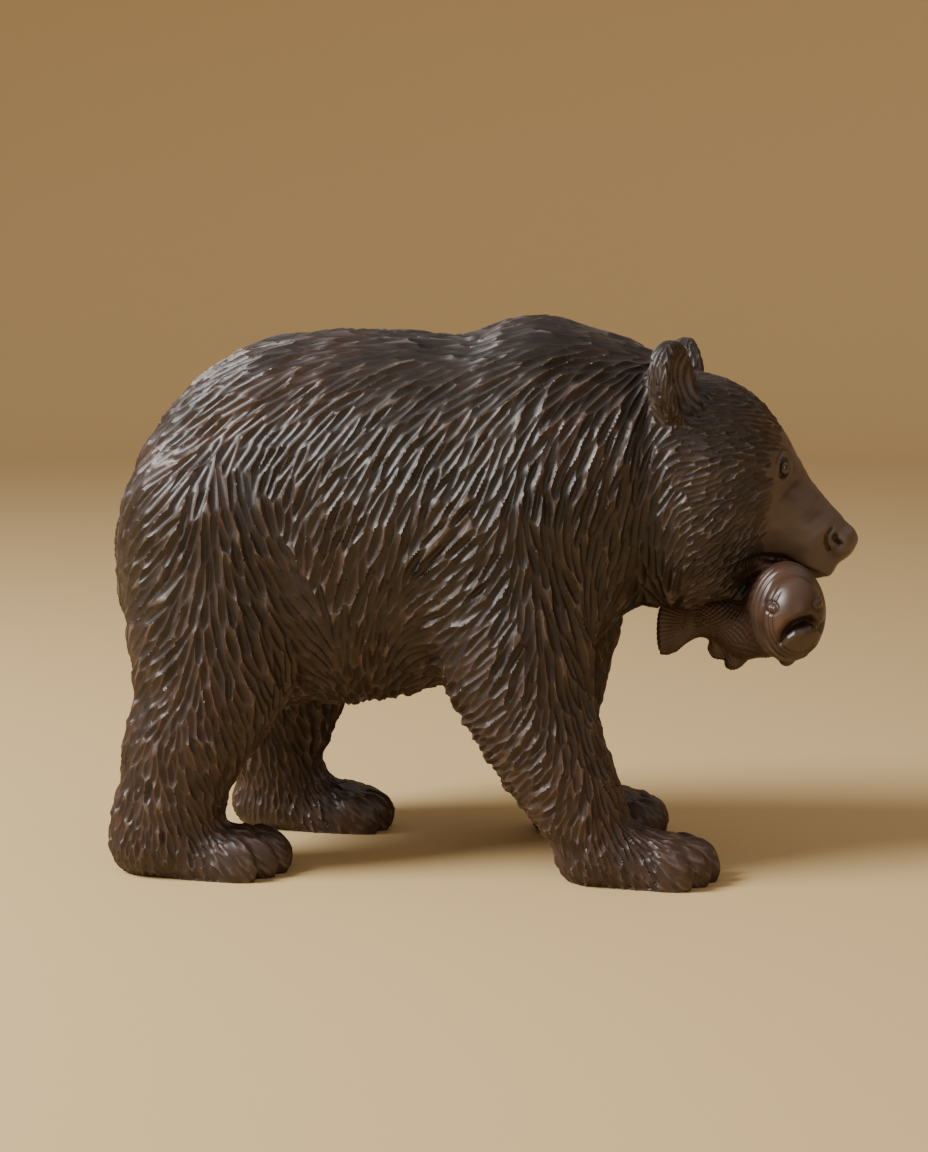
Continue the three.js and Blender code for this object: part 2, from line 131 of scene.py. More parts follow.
# Balls that hold each form: centre and radius, or a leg's centre height and radius.
TRUNK_BALL, HEAD_BALL, LEG_BALL = ((0, 0, 190), 300), ((125, 0, 195), 105), (112, 128)
RUMP_BALL, PAW_BALL = 110, 58

# The head and the trunk are two solids that meet in a flat joint inside the neck. Each laps past
# the joint, and there it sinks by a depth, from one distance past the joint to another.
NECK_JOINT_X, NECK_JOINT_Z, HEAD_LOW_Z = 80, 90, 100
JOINT_LAP, JOINT_RIM, JOINT_SINK = 8.0, 2, (2.2, 2.5, 7.0)
BODY_BOX = (-214, -92, -6), (144, 92, 304)
HEAD_BOX = (68, -74, 94), (210, 74, 300)
SALMON_BOX = (90, -84, 100), (190, 4, 172)

# Salmon: head and body along Y, tail along X under the cheek. Position, two centres, two radii.
FISH_BODY = [
    (-62, 165, 141, 16, 22), (-50, 163.5, 142, 19, 25.5), (-37, 161.5, 142, 19, 25),
    (-27, 158, 139, 17, 22.5)]
FISH_TAIL = [
    (98, -11, 126.5, 2.8, 14), (105, -12, 127.5, 3.3, 13.5), (112, -13, 131, 4.3, 11),
    (118, -14, 133, 6, 10), (125, -14.5, 133, 8.5, 11.8), (133, -15.5, 129.5, 11, 15),
    (142, -18, 129, 13.5, 17), (152, -22, 134, 16, 20)]
FISH_CAPS, TAIL_CAPS, TAIL_FILLET, FIN_FILLET = (17, 14), (3, 10), 6, 3
FINS = [                       # centre, radii, slope of the fin in the XZ plane
    ((138, -17, 113), (5.5, 3.4, 8), 40), ((128, -15, 117), (6, 3.4, 5.5), 50),
    ((163, -44, 119), (5, 3.4, 6), 0)]


# ---- arrays and frames ---------------------------------------------------------------------

def curve(s, rows):
    """Smooth curve through rows of (station, values): cubic between rows, level at both ends."""
    table = np.asarray(rows, float)
    knots, values = table[:, 0], table[:, 1:]
    step = np.diff(knots)[:, None]
    rise = np.diff(values, axis=0) / step
    inner = (rise[:-1] * step[1:] + rise[1:] * step[:-1]) / (step[:-1] + step[1:])
    slope = np.vstack([0 * rise[:1], inner, 0 * rise[:1]])
    i = np.clip(np.searchsorted(knots, s, side="right") - 1, 0, len(knots) - 2)
    d = (knots[i + 1] - knots[i])
    t = ((s - knots[i]) / d)[:, None]
    d = d[:, None]
    blend_in = t * t * (3 - 2 * t)
    return ((1 - blend_in) * values[i] + blend_in * values[i + 1]
            + t * (1 - t) ** 2 * d * slope[i] + t * t * (t - 1) * d * slope[i + 1])


def roundness(offset, radii):
    """Distance measure of a round form: k0 (k0 - 1) / k1, with k0 = |q / r| and k1 = |q / r^2|."""
    q = offset / radii
    k0 = np.sqrt((q * q).sum(1) + 1e-12)
    q = q / radii
    k1 = np.sqrt((q * q).sum(1) + 1e-16)
    return k0 * (k0 - 1) / k1


def ellipsoid(points, centre, radii):
    """Distance measure of an ellipsoid along the axes."""
    return roundness(points - np.asarray(centre, float), np.asarray(radii, float))


def loft(points, axis, rows, caps):
    """Round form lofted along an axis, closed by half ellipsoids that reach caps past the ends."""
    others = [i for i in range(3) if i != axis]
    s = np.clip(points[:, axis], rows[0][0], rows[-1][0])
    row = curve(s, rows)
    past = points[:, axis] - s
    offset = np.stack([past, points[:, others[0]] - row[:, 0], points[:, others[1]] - row[:, 1]], 1)
    cap = np.where(past < 0, caps[0], caps[1])
    return roundness(offset, np.stack([cap, row[:, 2], row[:, 3]], 1))


def blend(a, b, fillet):
    """Union of two fields with a fillet."""
    h = np.clip(0.5 + 0.5 * (b - a) / fillet, 0, 1)
    return b + (a - b) * h - fillet * h * (1 - h)


def trim(a, b, fillet):
    """What lies in both fields, with a rounded edge."""
    return -blend(-a, -b, fillet)


def spin(a, b, degrees):
    """Coordinates a and b seen from axes turned by an angle: c a + s b and c b - s a."""
    c, s = math.cos(math.radians(degrees)), math.sin(math.radians(degrees))
    return c * a + s * b, c * b - s * a


def turned(points, origin, turn=0.0, droop=0.0, roll=0.0):
    """Coordinates in a frame at origin that is turned about Z, drooped nose down, then rolled."""
    x, y, z = (points - np.asarray(origin, float)).T
    x, y = spin(x, y, turn)
    z, x = spin(z, x, droop)
    y, z = spin(y, z, roll)
    return np.stack([x, y, z], 1)


def head_frame(points):
    """Coordinates in the head's frame, with the left half folded onto the right: Y is positive."""
    q = turned(points, NAPE, HEAD_TURN)
    q[:, 1] = np.abs(q[:, 1])
    return q


def ear_frame(h):
    """Coordinates in the ear's frame from those in the head's: X out of the cup, Z to the tip."""
    return turned(h, EAR_AT, EAR_TURN, -EAR_TIP, -EAR_SPLAY)


def cup_distance(ear):
    """Distance from the middle of the ear's hollow, 1 at its edge."""
    return np.linalg.norm((ear - EAR_CUP[0]) / np.array(EAR_CUP[1]), axis=1)


def unit(v):
    """Rows divided by their lengths."""
    return v / np.maximum(np.linalg.norm(v, axis=1, keepdims=True), 1e-12)


def smoothstep(low, high, x):
    """From 0 at low to 1 at high along 3 t^2 - 2 t^3. It falls where low is above high."""
    t = np.clip((x - low) / (high - low), 0, 1)
    return t * t * (3 - 2 * t)


def wave_noise(points, size, seed):
    """Smooth noise from -1 to 1: eight sine waves of random direction, about size long."""
    rng = np.random.default_rng(seed)
    total = np.zeros(len(points))
    for _ in range(8):
        k = rng.normal(size=3)
        k *= 2 * math.pi / (size * rng.uniform(0.7, 1.5)) / np.linalg.norm(k)
        total += np.sin(points @ k + rng.uniform(0, 2 * math.pi))
    return total / 4


# ---- the bear's field ----------------------------------------------------------------------

def paw_parts():
    """Each paw's pad and toes as (field, centre, reach) for one blend each."""
    for heel, toe, y, outer in PAWS.values():
        middle = (heel + toe) / 2
        rows = [(x + shift, y, *size) for x, (shift, *size) in zip((heel, middle, toe), PAD)]
        toes = [((toe - back - TOE_BACK, y + outer * (2 - i) * TOE_SPREAD, TOE_Z),
                 outer * (2 - i) * TOE_FAN) for i, back in enumerate(TOE_SET_BACK)]

        def pad_and_toes(points, rows=rows, toes=toes):
            d = loft(points, 0, rows, PAD_CAPS)
            for at, turn in toes:
                toe_field = ellipsoid(turned(points, at, turn), (0, 0, 0), TOE_RADII)
                d = blend(d, toe_field, TOE_FILLET)
            return d

        yield pad_and_toes, (middle, y, 8), PAW_BALL, PAW_FILLET


def head_field(points):
    """Skull, cheeks, muzzle, jaw and cupped ears."""
    p = head_frame(points)
    d = blend(ellipsoid(p, *SKULL), ellipsoid(p, *CHEEK), CHEEK_FILLET)
    muzzle = turned(p, MUZZLE_AT, 0, MUZZLE_DROOP)
    d = blend(d, loft(muzzle, 0, MUZZLE, MUZZLE_CAPS), MUZZLE_FILLET)
    d = blend(d, loft(turned(p, JAW_AT, 0, JAW_DROOP), 0, JAW, JAW_CAPS), JAW_FILLET)
    d = blend(d, ellipsoid(turned(p, LIP_AT, 0, LIP_DROOP), (0, 0, 0), LIP_RADII), LIP_FILLET)
    d = blend(d, ellipsoid(p, *PALATE), PALATE_FILLET)
    d = trim(d, -ellipsoid(p, *EYE_HOLLOW), EYE_HOLLOW_FILLET)
    ear = ear_frame(p)
    shell = trim(ellipsoid(ear, (0, 0, 0), EAR_RADII), ear[:, 0] - EAR_FACE, EAR_RIM_FILLET)
    d = blend(d, shell, EAR_FILLET)
    return trim(d, -ellipsoid(ear, *EAR_CUP), EAR_CUP_FILLET)


def bear_parts():
    """Every form of the bear as (field, centre, reach, fillet), in the order they are blended."""
    trunk = [(x, 0, (low + top) / 2, w, (top - low) / 2) for x, w, low, top in TRUNK]
    yield lambda p: loft(p, 0, trunk, TRUNK_CAPS), *TRUNK_BALL, 1
    yield (lambda p: ellipsoid(turned(p, RUMP["at"], 0, RUMP["lean"]), (0, 0, 0), RUMP["radii"]),
           RUMP["at"], RUMP_BALL, RUMP["fillet"])
    for rows in LEGS.values():
        yield (lambda p, rows=rows: loft(p, 2, rows, LEG_CAPS),
               (rows[3][1], rows[3][2], LEG_BALL[0]), LEG_BALL[1], LEG_FILLET)
    yield head_field, *HEAD_BALL, NECK_FILLET
    yield from paw_parts()


BEAR_PARTS = list(bear_parts())


def bear_field(points, reach):
    """The blended forms, exact within reach of the surface and larger than reach further out."""
    d = np.full(len(points), 1e3)
    for field, centre, radius, fillet in BEAR_PARTS:
        near = ((points - np.asarray(centre)) ** 2).sum(1) < (radius + reach + fillet) ** 2
        d[near] = blend(d[near], field(points[near]), fillet)
    return trim(d, -points[:, 2], SOLE_EDGE)


# ---- a net over the zero surface -----------------------------------------------------------

GRID_LEVELS, GRID_BAND = 3, 3.2     # how often the grid is halved, and cells kept by the surface


def sample_band(field, low, high, step):
    """Field values on a grid. Each finer level is worked out only next to the surface."""
    coarse = step * 2 ** GRID_LEVELS
    low = np.asarray(low, float)
    count = np.ceil((np.asarray(high) - low) / coarse).astype(int) + 1
    axes = [low[i] + np.arange(count[i]) * coarse for i in range(3)]
    grid = np.stack(np.meshgrid(*axes, indexing="ij"), -1)
    value = field(grid.reshape(-1, 3), coarse * 2).reshape(count)
    size = coarse
    for _ in range(GRID_LEVELS):
        size /= 2
        fine = np.full([2 * n - 1 for n in value.shape], 0.0)
        fine[::2, ::2, ::2] = value
        for axis in range(3):
            lead = [slice(None)] * 3
            odd, before, after = list(lead), list(lead), list(lead)
            odd[axis] = slice(1, None, 2)
            before[axis], after[axis] = slice(0, -1, 2), slice(2, None, 2)
            fine[tuple(odd)] = (fine[tuple(before)] + fine[tuple(after)]) / 2
        near = np.abs(fine) < size * GRID_BAND
        at = np.argwhere(near)
        fine[near] = field(low + at * size, size * 4)
        value = fine
    return value


def draw_net(value, low, step):
    """One vertex in each cell that the surface crosses, and one quad at each edge it crosses."""
    inside = value < 0
    n = np.array(value.shape)
    shell = np.zeros(n - 1, np.int8)
    for corner in np.ndindex(2, 2, 2):
        shell += inside[tuple(slice(c, n[i] - 1 + c) for i, c in enumerate(corner))]
    crossed = (shell > 0) & (shell < 8)
    cells = np.argwhere(crossed)
    number = np.full(crossed.shape, -1, np.int64)
    number[crossed] = np.arange(len(cells))
    total = np.zeros((len(cells), 3))
    hits = np.zeros(len(cells))
    for axis in range(3):
        for side in np.ndindex(2, 2):
            start = np.zeros(3, int)
            start[(axis + 1) % 3], start[(axis + 2) % 3] = side
            end = start.copy()
            end[axis] = 1
            a, b = value[tuple((cells + start).T)], value[tuple((cells + end).T)]
            hit = (a < 0) != (b < 0)
            place = np.tile(start.astype(float), (len(cells), 1))
            place[:, axis] = np.where(hit, a / np.where(hit, a - b, 1), 0)
            total[hit] += place[hit]
            hits[hit] += 1
    points = np.asarray(low, float) + (cells + total / hits[:, None]) * step
    quads = []
    for axis in range(3):
        b, c = (axis + 1) % 3, (axis + 2) % 3
        here = tuple(slice(0, -1) if i == axis else slice(1, -1) for i in range(3))
        there = tuple(slice(1, None) if i == axis else slice(1, -1) for i in range(3))
        edge = np.argwhere(inside[here] != inside[there])
        edge[:, [b, c]] += 1
        ring = []
        for db, dc in ((1, 1), (0, 1), (0, 0), (1, 0)):
            cell = edge.copy()
            cell[:, b] -= db
            cell[:, c] -= dc
            ring.append(number[tuple(cell.T)])
        ring = np.stack(ring, 1)
        outward = inside[tuple(edge.T)]
        quads.append(np.where(outward[:, None], ring, ring[:, ::-1]))
    return points, np.vstack(quads)


SLOPE_STEP, SLOPE_REACH = 0.25, 4


def slope_of(field, points):
    """Gradient of a field by central differences."""
    rise = []
    for axis in range(3):
        shift = np.zeros(3)
        shift[axis] = SLOPE_STEP
        rise.append((field(points + shift, SLOPE_REACH) - field(points - shift, SLOPE_REACH))
                    / (2 * SLOPE_STEP))
    return np.stack(rise, 1)


def settle(field, points):
    """Moves points onto the zero surface along the slope. Returns them and the outward normals."""
    g = slope_of(field, points)
    d = field(points, SLOPE_REACH)
    points = points - g * np.clip(d / np.maximum((g * g).sum(1), 0.1), -1, 1)[:, None]
    return points, unit(slope_of(field, points))


# ---- the coat: which way each cut runs, and how large it is --------------------------------

BACK_LINE = [-200, -150, -104, -8, 32, 96], [200, 262, 283, 285, 296, 276]      # X, Z
FLANK_HEIGHT = 192
# Angle of the cuts below the level, over the share of the flank passed and over the head's Z.
FLANK_FALL = [0, 0.05, 0.14, 0.32, 0.55, 0.8, 1], [8, 18, 36, 57, 69, 81, 90]
HEAD_FALL = [-60, -25, 5, 35, 70], [66, 50, 22, 6, 2]
# Legs: the parting's X past the axis over Z, reach in X and centre Z, top Z, and the tilts behind
# and before the parting.
HIND_COAT = ([20, 60, 100, 160, 240], [-8, -6, 2, 6, 8]), (50, 118), 226, (64, 34)
FORE_COAT = ([20, 60, 110, 200], [10, 14, 14, 8]), (42, 112), 204, (58, 32)
# Length and width of the cuts, and their depth as a share of the width.
FLANK_CUT, FLANK_DEPTH, HEAD_CUT, HEAD_DEPTH = (26.0, 5.9), 0.37, (11.0, 3.9), 0.29
BELLY_CUT, LEG_WIDTH, PAW_CUT, EAR_CUT = (17.0, 6.8), 5.0, (12.5, 4.0), (11.0, 3.0)


def mix(base, extra, weight):
    """Mixes extra into base by weight, for numbers or for directions."""
    return base + (extra - base) * (weight[:, None] if base.ndim == 2 else weight)


def leg_coat(flow, points, name, parting, reach, top, tilts):
    """Cuts of one leg: from a parting line they fall rearwards behind it and forwards before it."""
    x, y, z = points.T
    rows = np.array(LEGS[name], float)
    axis = np.interp(z, rows[:, 0], rows[:, 1])
    away = (x - axis - np.interp(z, *parting)) / reach[0]
    tilt = np.radians(np.where(away < 0, tilts[0] * np.tanh(1.7 * away),
                               tilts[1] * np.tanh(2.2 * away)))
    leg_flow = np.stack([np.sin(tilt), 0 * x, -np.cos(tilt)], 1)
    side = smoothstep(2, 24, y * math.copysign(1, rows[0, 2]))
    round_hip = np.hypot((x - axis) / (reach[0] + 16), (z - reach[1]) / (top - reach[1]))
    weight = side * smoothstep(1.16, 0.78, round_hip)
    weight = np.maximum(weight, side * smoothstep(108, 84, z) * (np.abs(x - axis) < 66))
    return mix(flow, leg_flow, weight)


def coat(points, normals):
    """For each point the unit direction of the cuts, and their length, width and depth."""
    x, y, z = points.T
    count = len(points)
    fall = np.clip((np.interp(x, *BACK_LINE) - z) / FLANK_HEIGHT, 0, 1)

    # Flank: nearly level along the back, then turning down, upright at the belly.
    angle = np.interp(fall, *FLANK_FALL) + 14 * smoothstep(52, 96, x)
    angle = np.radians(angle + 7 * wave_noise(points, 110, 3))
    flow = np.stack([-np.cos(angle), np.zeros(count), -np.sin(angle)], 1)
    for name in LEGS:
        flow = leg_coat(flow, points, name, *(HIND_COAT if "hind" in name else FORE_COAT))
    length, width = (np.full(count, size) for size in FLANK_CUT)
    depth = np.full(count, FLANK_DEPTH)
    belly = smoothstep(128, 100, z) * smoothstep(-112, -90, x) * smoothstep(10, -14, x)
    width = mix(width, BELLY_CUT[1], belly)
    length = mix(length, BELLY_CUT[0], np.maximum(belly, smoothstep(125, 80, z)))
    width = mix(width, LEG_WIDTH, smoothstep(110, 70, z) * (1 - belly))

    # Paws: short cuts run from the ankle outwards over the instep and down to the sole.
    low = smoothstep(46, 24, z)
    for name, (heel, toe, centre_y, _) in PAWS.items():
        ankle = np.array([LEGS[name][1][1] - 4, centre_y, 50.0])
        mine = low * (np.abs(y - centre_y) < 40) * (x > heel - 8) * (x < toe + 8)
        flow = mix(flow, unit((points - ankle) * (1, 0.8, 1.1)), mine)
        depth = depth * (1 - 0.6 * mine * smoothstep(toe - 36, toe - 26, x) * (z < 30))
    length, width = mix(length, PAW_CUT[0], low), mix(width, PAW_CUT[1], low)

    # Head: from the eyes and brow back to the ears, falling away over the cheeks.
    h = head_frame(points)
    side = np.sign(turned(points, NAPE, HEAD_TURN)[:, 1])
    head = smoothstep(2, 26, h[:, 0] + 0.12 * h[:, 2]) * (z > 90)
    fall = np.radians(np.interp(h[:, 2], *HEAD_FALL) + 13 * wave_noise(points, 26, 5))
    head_flow = np.stack([-np.cos(fall), 0.25 * side, -np.sin(fall)], 1)
    flow = mix(flow, head_flow, head)
    length, width = mix(length, HEAD_CUT[0], head), mix(width, HEAD_CUT[1], head)
    depth = mix(depth, HEAD_DEPTH, head)

    # Ears: fine cuts from root to tip.
    ear = ear_frame(h)
    on_ear = smoothstep(1.25, 1.0, np.linalg.norm(ear / np.array(EAR_RADII), axis=1))
    flow = mix(flow, np.tile([0.1, 0.0, 1.0], (count, 1)), on_ear)
    length, width = mix(length, EAR_CUT[0], on_ear), mix(width, EAR_CUT[1], on_ear)

    # The muzzle, the skin round the eyes, the ears' hollows and the soles are left smooth.
    bare = smoothstep(58, 69, h[:, 0] - 0.15 * h[:, 2]) * (z > 90)
    bare = np.maximum(bare, smoothstep(15, 9, np.linalg.norm(h - EYE_AT, axis=1)))
    bare = np.maximum(bare, smoothstep(1.06, 0.98, cup_distance(ear)))
    bare = np.maximum(bare, smoothstep(-0.85, -0.97, normals[:, 2]) * (z < 3))
    depth = depth * width * (1 - bare)
    flow = flow - normals * (flow * normals).sum(1)[:, None]
    return unit(flow), length, width, depth


CUT_REACH = 17.0                   # no cut reaches further than this from its middle
SPACING = 0.52, 0.62               # spacing along and across a cut, as shares of its size
CANDIDATES, CUT_COVER = 6.0, 0.30  # candidates for each cut, and its own share of its rectangle
SHALLOWEST = 0.06
SWAY, SIZE_RANGE, BEND = 0.09, (0.84, 1.2), 0.6      # how far the cuts differ from one another
RIDGE_CATCH, PROBE = 0.52, 0.2     # share of a net step within which points slide, and a short way


def pairs_near(a, b):
    """Every (i, j) with a[i] and b[j] in the same or in touching cells of a grid."""
    low = np.minimum(a.min(0), b.min(0)) - CUT_REACH
    cell_a = ((a - low) // CUT_REACH).astype(np.int64)
    cell_b = ((b - low) // CUT_REACH).astype(np.int64)
    span = np.maximum(cell_a.max(0), cell_b.max(0)) + 3
    key_b = (cell_b[:, 0] * span[1] + cell_b[:, 1]) * span[2] + cell_b[:, 2]
    order = np.argsort(key_b, kind="stable")
    key_b = key_b[order]
    for shift in np.ndindex(3, 3, 3):
        c = cell_a + np.array(shift) - 1
        key = (c[:, 0] * span[1] + c[:, 1]) * span[2] + c[:, 2]
        first, last = np.searchsorted(key_b, key), np.searchsorted(key_b, key, side="right")
        count = last - first
        i = np.repeat(np.arange(len(a)), count)
        within = np.arange(len(i)) - np.repeat(np.cumsum(count) - count, count)
        j = order[np.repeat(first, count) + within]
        close = ((a[i] - b[j]) ** 2).sum(1) < CUT_REACH ** 2
        yield i[close], j[close]


def scatter_cuts(points, normals, area, seed):
    """Picks cut centres so that none is nearer to another than its own spacing, in random order.

    A point is a candidate with a chance in proportion to how many cuts its region takes. Of any
    two candidates closer than a cut's spacing, the one that comes first in the order is kept.
    """
    rng = np.random.default_rng(seed)
    flow, length, width, depth = coat(points, normals)
    chance = CANDIDATES * area / (CUT_COVER * length * width)
    keep = (rng.uniform(0, 1, len(points)) < chance) & (depth > SHALLOWEST)
    p, n, flow, length, width, depth = (
        v[keep] for v in (points, normals, flow, length, width, depth))
    across = np.cross(n, flow)
    rank = rng.permutation(len(p))
    near = []
    for i, j in pairs_near(p, p):
        first = rank[j] < rank[i]
        i, j = i[first], j[first]
        d = p[j] - p[i]
        along = (d * flow[i]).sum(1) / (SPACING[0] * length[i])
        aside = (d * across[i]).sum(1) / (SPACING[1] * width[i])
        level = (d * n[i]).sum(1) / width[i]
        close = (along ** 2 + aside ** 2 + level ** 2 < 1) & ((n[i] * n[j]).sum(1) > 0)
        near.append((i[close], j[close]))
    i, j = (np.concatenate(v) for v in zip(*near))
    kept, open_ = np.zeros(len(p), bool), np.ones(len(p), bool)
    while open_.any():
        beaten = np.bincount(i[kept[j]], minlength=len(p)) > 0
        open_ &= ~beaten & ~kept
        waits = np.bincount(i[open_[j] & open_[i]], minlength=len(p)) > 0
        kept |= open_ & ~waits
        open_ &= ~kept
    count = kept.sum()
    flow = unit(flow[kept] + across[kept] * rng.normal(0, SWAY, (count, 1)))
    vary = rng.uniform(*SIZE_RANGE, (3, count))
    return {"at": p[kept], "normal": n[kept], "flow": flow, "across": np.cross(n[kept], flow),
            "length": length[kept] * vary[0], "width": width[kept] * vary[1],
            "depth": depth[kept] * vary[2], "bend": rng.normal(0, BEND, count),
            "tone": rng.uniform(0, 1, count)}


def cut_height(offset, cuts, j):
    """Height of cut j's surface at an offset from its middle.

    The cut is a spoon-shaped hollow: depth (b^2 + end - 1), with b from -1 to 1 over its width. The
    end term grows gently, as the square, towards the pointed start, and late and steeply, as the
    fourth power, towards the round tip. The whole hollow bends a little to one side.
    """
    a = (offset * cuts["flow"][j]).sum(1) / (cuts["length"][j] / 2)
    b = (offset * cuts["across"][j]).sum(1) / (cuts["width"][j] / 2)
    b = b - cuts["bend"][j] * a * a * 0.35
    end = np.where(a > 0, 1.15 * a ** 4, 0.8 * a * a)
    return cuts["depth"][j] * (b * b * np.where(a > 0, 1, 1 - 0.5 * a) + end - 1), a, b


def two_lowest(points, normals, cuts):
    """For each point the lowest cut and the next lowest, or -1 where there is none."""
    low = np.full((2, len(points)), 9.0)
    who = np.full((2, len(points)), -1)
    for i, j in pairs_near(points, cuts["at"]):
        h, a, b = cut_height(points[i] - cuts["at"][j], cuts, j)
        near = ((normals[i] * cuts["normal"][j]).sum(1) > 0.25) & (np.abs(a) < 1.25) & (h < 1.0)
        i, j, h = i[near], j[near], h[near]
        order = np.lexsort((h, i))
        i, j, h = i[order], j[order], h[order]
        first = np.ones(len(i), bool)
        first[1:] = i[1:] != i[:-1]
        second = np.zeros(len(i), bool)
        second[1:] = first[:-1] & ~first[1:]
        for pick in (first, second):
            k, c, v = i[pick], j[pick], h[pick]
            lower = v < low[0, k]
            between = ~lower & (v < low[1, k])
            low[1, k[between]], who[1, k[between]] = v[between], c[between]
            k, c, v = k[lower], c[lower], v[lower]
            low[1, k], who[1, k] = low[0, k], who[0, k]
            low[0, k], who[0, k] = v, c
    return low, who


def carve(points, normals, cuts, step):
    """Sinks the points into the lowest cut over them. Returns the points, depths and tones.

    Points near a ridge, where two cuts are equally deep, first slide onto it, so it stays sharp.
    """
    low, who = two_lowest(points, normals, cuts)
    both = np.flatnonzero(who[1] >= 0)
    p, n, c = points[both], normals[both], who[:, both]
    u = unit(np.cross(n, cuts["flow"][c[0]]))
    v = np.cross(n, u)
    gap = low[1, both] - low[0, both]
    slope = []
    for way in (u, v):
        moved = p + way * PROBE
        h = [cut_height(moved - cuts["at"][k], cuts, k)[0] for k in (c[0], c[1])]
        slope.append((h[1] - h[0] - gap) / PROBE)
    slope = np.stack(slope, 1)
    steep = np.maximum((slope ** 2).sum(1), 1e-3)
    on_ridge = gap / np.sqrt(steep) < RIDGE_CATCH * step
    slide = on_ridge[:, None] * -slope * (gap / steep)[:, None]
    points = points.copy()
    points[both] = p + u * slide[:, :1] + v * slide[:, 1:]
    height = low[0].copy()
    seen = who[0] >= 0
    height[seen] = cut_height(points[seen] - cuts["at"][who[0, seen]], cuts, who[0, seen])[0]
    depth = coat(points, normals)[3]
    height = np.clip(height, -3.0, 0.3) * smoothstep(0.04, 0.3, depth)
    tone = np.where(seen, cuts["tone"][who[0]], 0.5)
    return points + normals * height[:, None], height, tone


# ---- meshes --------------------------------------------------------------------------------

def new_piece(name, points, faces):
    """A mesh object at the origin from points in millimetres and quads or triangles."""
    mesh = bpy.data.meshes.new(name)
    count, corners = faces.shape
    mesh.vertices.add(len(points))
    mesh.loops.add(count * corners)
    mesh.polygons.add(count)
    mesh.vertices.foreach_set("co", (points * MM).astype(np.float32).ravel())
    mesh.loops.foreach_set("vertex_index", faces.astype(np.int32).ravel())
    mesh.polygons.foreach_set("loop_start", np.arange(0, count * corners, corners, dtype=np.int32))
    mesh.update(calc_edges=True)
    mesh.validate()
    piece = bpy.data.objects.new(name, mesh)
    bpy.context.scene.collection.objects.link(piece)
    return piece


def set_attributes(piece, **attributes):
    """Stores arrays of one value for each vertex, which the finishes read by name."""
    for name, values in attributes.items():
        layer = piece.data.attributes.new(name, "FLOAT", "POINT")
        layer.data.foreach_set("value", np.asarray(values, np.float32))


def thin(piece, triangles, sharp):
    """Thins a piece to a number of triangles and splits the shading at its sharp ridges."""
    now = sum(len(p.vertices) - 2 for p in piece.data.polygons)
    modifier = piece.modifiers.new("thin", "DECIMATE")
    modifier.ratio = min(1.0, triangles / now)
    modifier.use_collapse_triangulate = True
    graph = bpy.context.evaluated_depsgraph_get()
    mesh = bpy.data.meshes.new_from_object(piece.evaluated_get(graph))
    piece.modifiers.clear()
    old, piece.data = piece.data, mesh
    bpy.data.meshes.remove(old)
    mesh.set_sharp_from_angle(angle=math.radians(sharp))


def stand_for_wood(piece, material):
    """Finishes a piece and lets it stand for the carving's node."""
    piece.data.materials.append(material)
    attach(piece, "root")
    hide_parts(NODE)


# ---- the face and the salmon, worked in finer than their fields ----------------------------

def along_line(points, line, axes=(0, 1, 2)):
    """Distance to a broken line and the share of it passed, measured in the given axes."""
    line = np.asarray(line, float)
    best = np.full(len(points), 1e3)
    share = np.zeros(len(points))
    p = points[:, list(axes)]
    for k, (a, b) in enumerate(zip(line[:-1], line[1:])):
        t = np.clip(((p - a) @ (b - a)) / ((b - a) @ (b - a)), 0, 1)
        d = np.linalg.norm(p - a - t[:, None] * (b - a), axis=1)
        nearer = d < best
        best[nearer] = d[nearer]
        share[nearer] = (k + t[nearer]) / (len(line) - 1)
    return best, share


def groove(distance, width):
    """Rounded trough across a line: -1 on it, back to 0 at about its width."""
    return -np.exp(-(distance / width) ** 2)


def comb(x, width):
    """Narrow trough at every whole number."""
    return -np.exp(-((x - np.round(x)) / width) ** 2)


EAR_LINES, EAR_ROOT = 3.1, ((2, 0, -15), (5, 4, 5))
NOSTRIL = [(98.6, -20), (98.8, -22.5), (101, -24.5)]
NOSE_WING = [(96.5, -16.5), (94, -20), (93.4, -24), (95, -28)]
LIP_LINE = [(54, -34), (62, -32.5), (72, -34), (82, -39), (92, -43.5)]


def eye_coordinates(h):
    """Distances from the eye's middle in the plane of its lids: forwards, upwards and outwards."""
    return turned(h, EYE_AT, EYE_TURN, 8)[:, [1, 2, 0]] * (-1, 1, 1)


def face_relief(points):
    """Eye socket and lids, nostrils, the wings of the nose and the line of the lips."""
    h = head_frame(points)
    relief = np.zeros(len(points))
    a, b, out = eye_coordinates(h).T
    near = smoothstep(14, 8, np.abs(out))
    r = np.hypot(a / 4.0, (b - 0.3 * a) / 4.6)
    relief += near * (1.3 * groove(r - 0.9, 0.30) - 0.55 * groove(r - 1.4, 0.24)
                      + 0.35 * groove(r - 1.85, 0.22) * smoothstep(-3, 1, b))
    ear = ear_frame(h)
    lines = comb((ear[:, 1] + 0.12 * ear[:, 2]) / EAR_LINES, 0.22)
    relief += 0.55 * smoothstep(1.12, 1.0, cup_distance(ear)) * lines
    relief += 3.0 * groove(np.linalg.norm((ear - EAR_ROOT[0]) / EAR_ROOT[1], axis=1), 1.0)
    nose = smoothstep(2, 5, h[:, 1])
    relief += 2.2 * nose * groove(along_line(h, NOSTRIL, (0, 2))[0], 1.05)
    relief += 1.1 * nose * groove(along_line(h, NOSE_WING, (0, 2))[0], 0.9)
    smooth = smoothstep(60, 70, h[:, 0])
    relief += 0.16 * smooth * wave_noise(points, 7, 21)
    relief += 0.3 * smooth * wave_noise(points, 22, 22)
    lip, share = along_line(h, LIP_LINE, (0, 2))
    relief += (1.2 + 2.4 * np.sin(math.pi * share)) * groove(lip, 2.0) * (h[:, 0] > 50)
    return relief


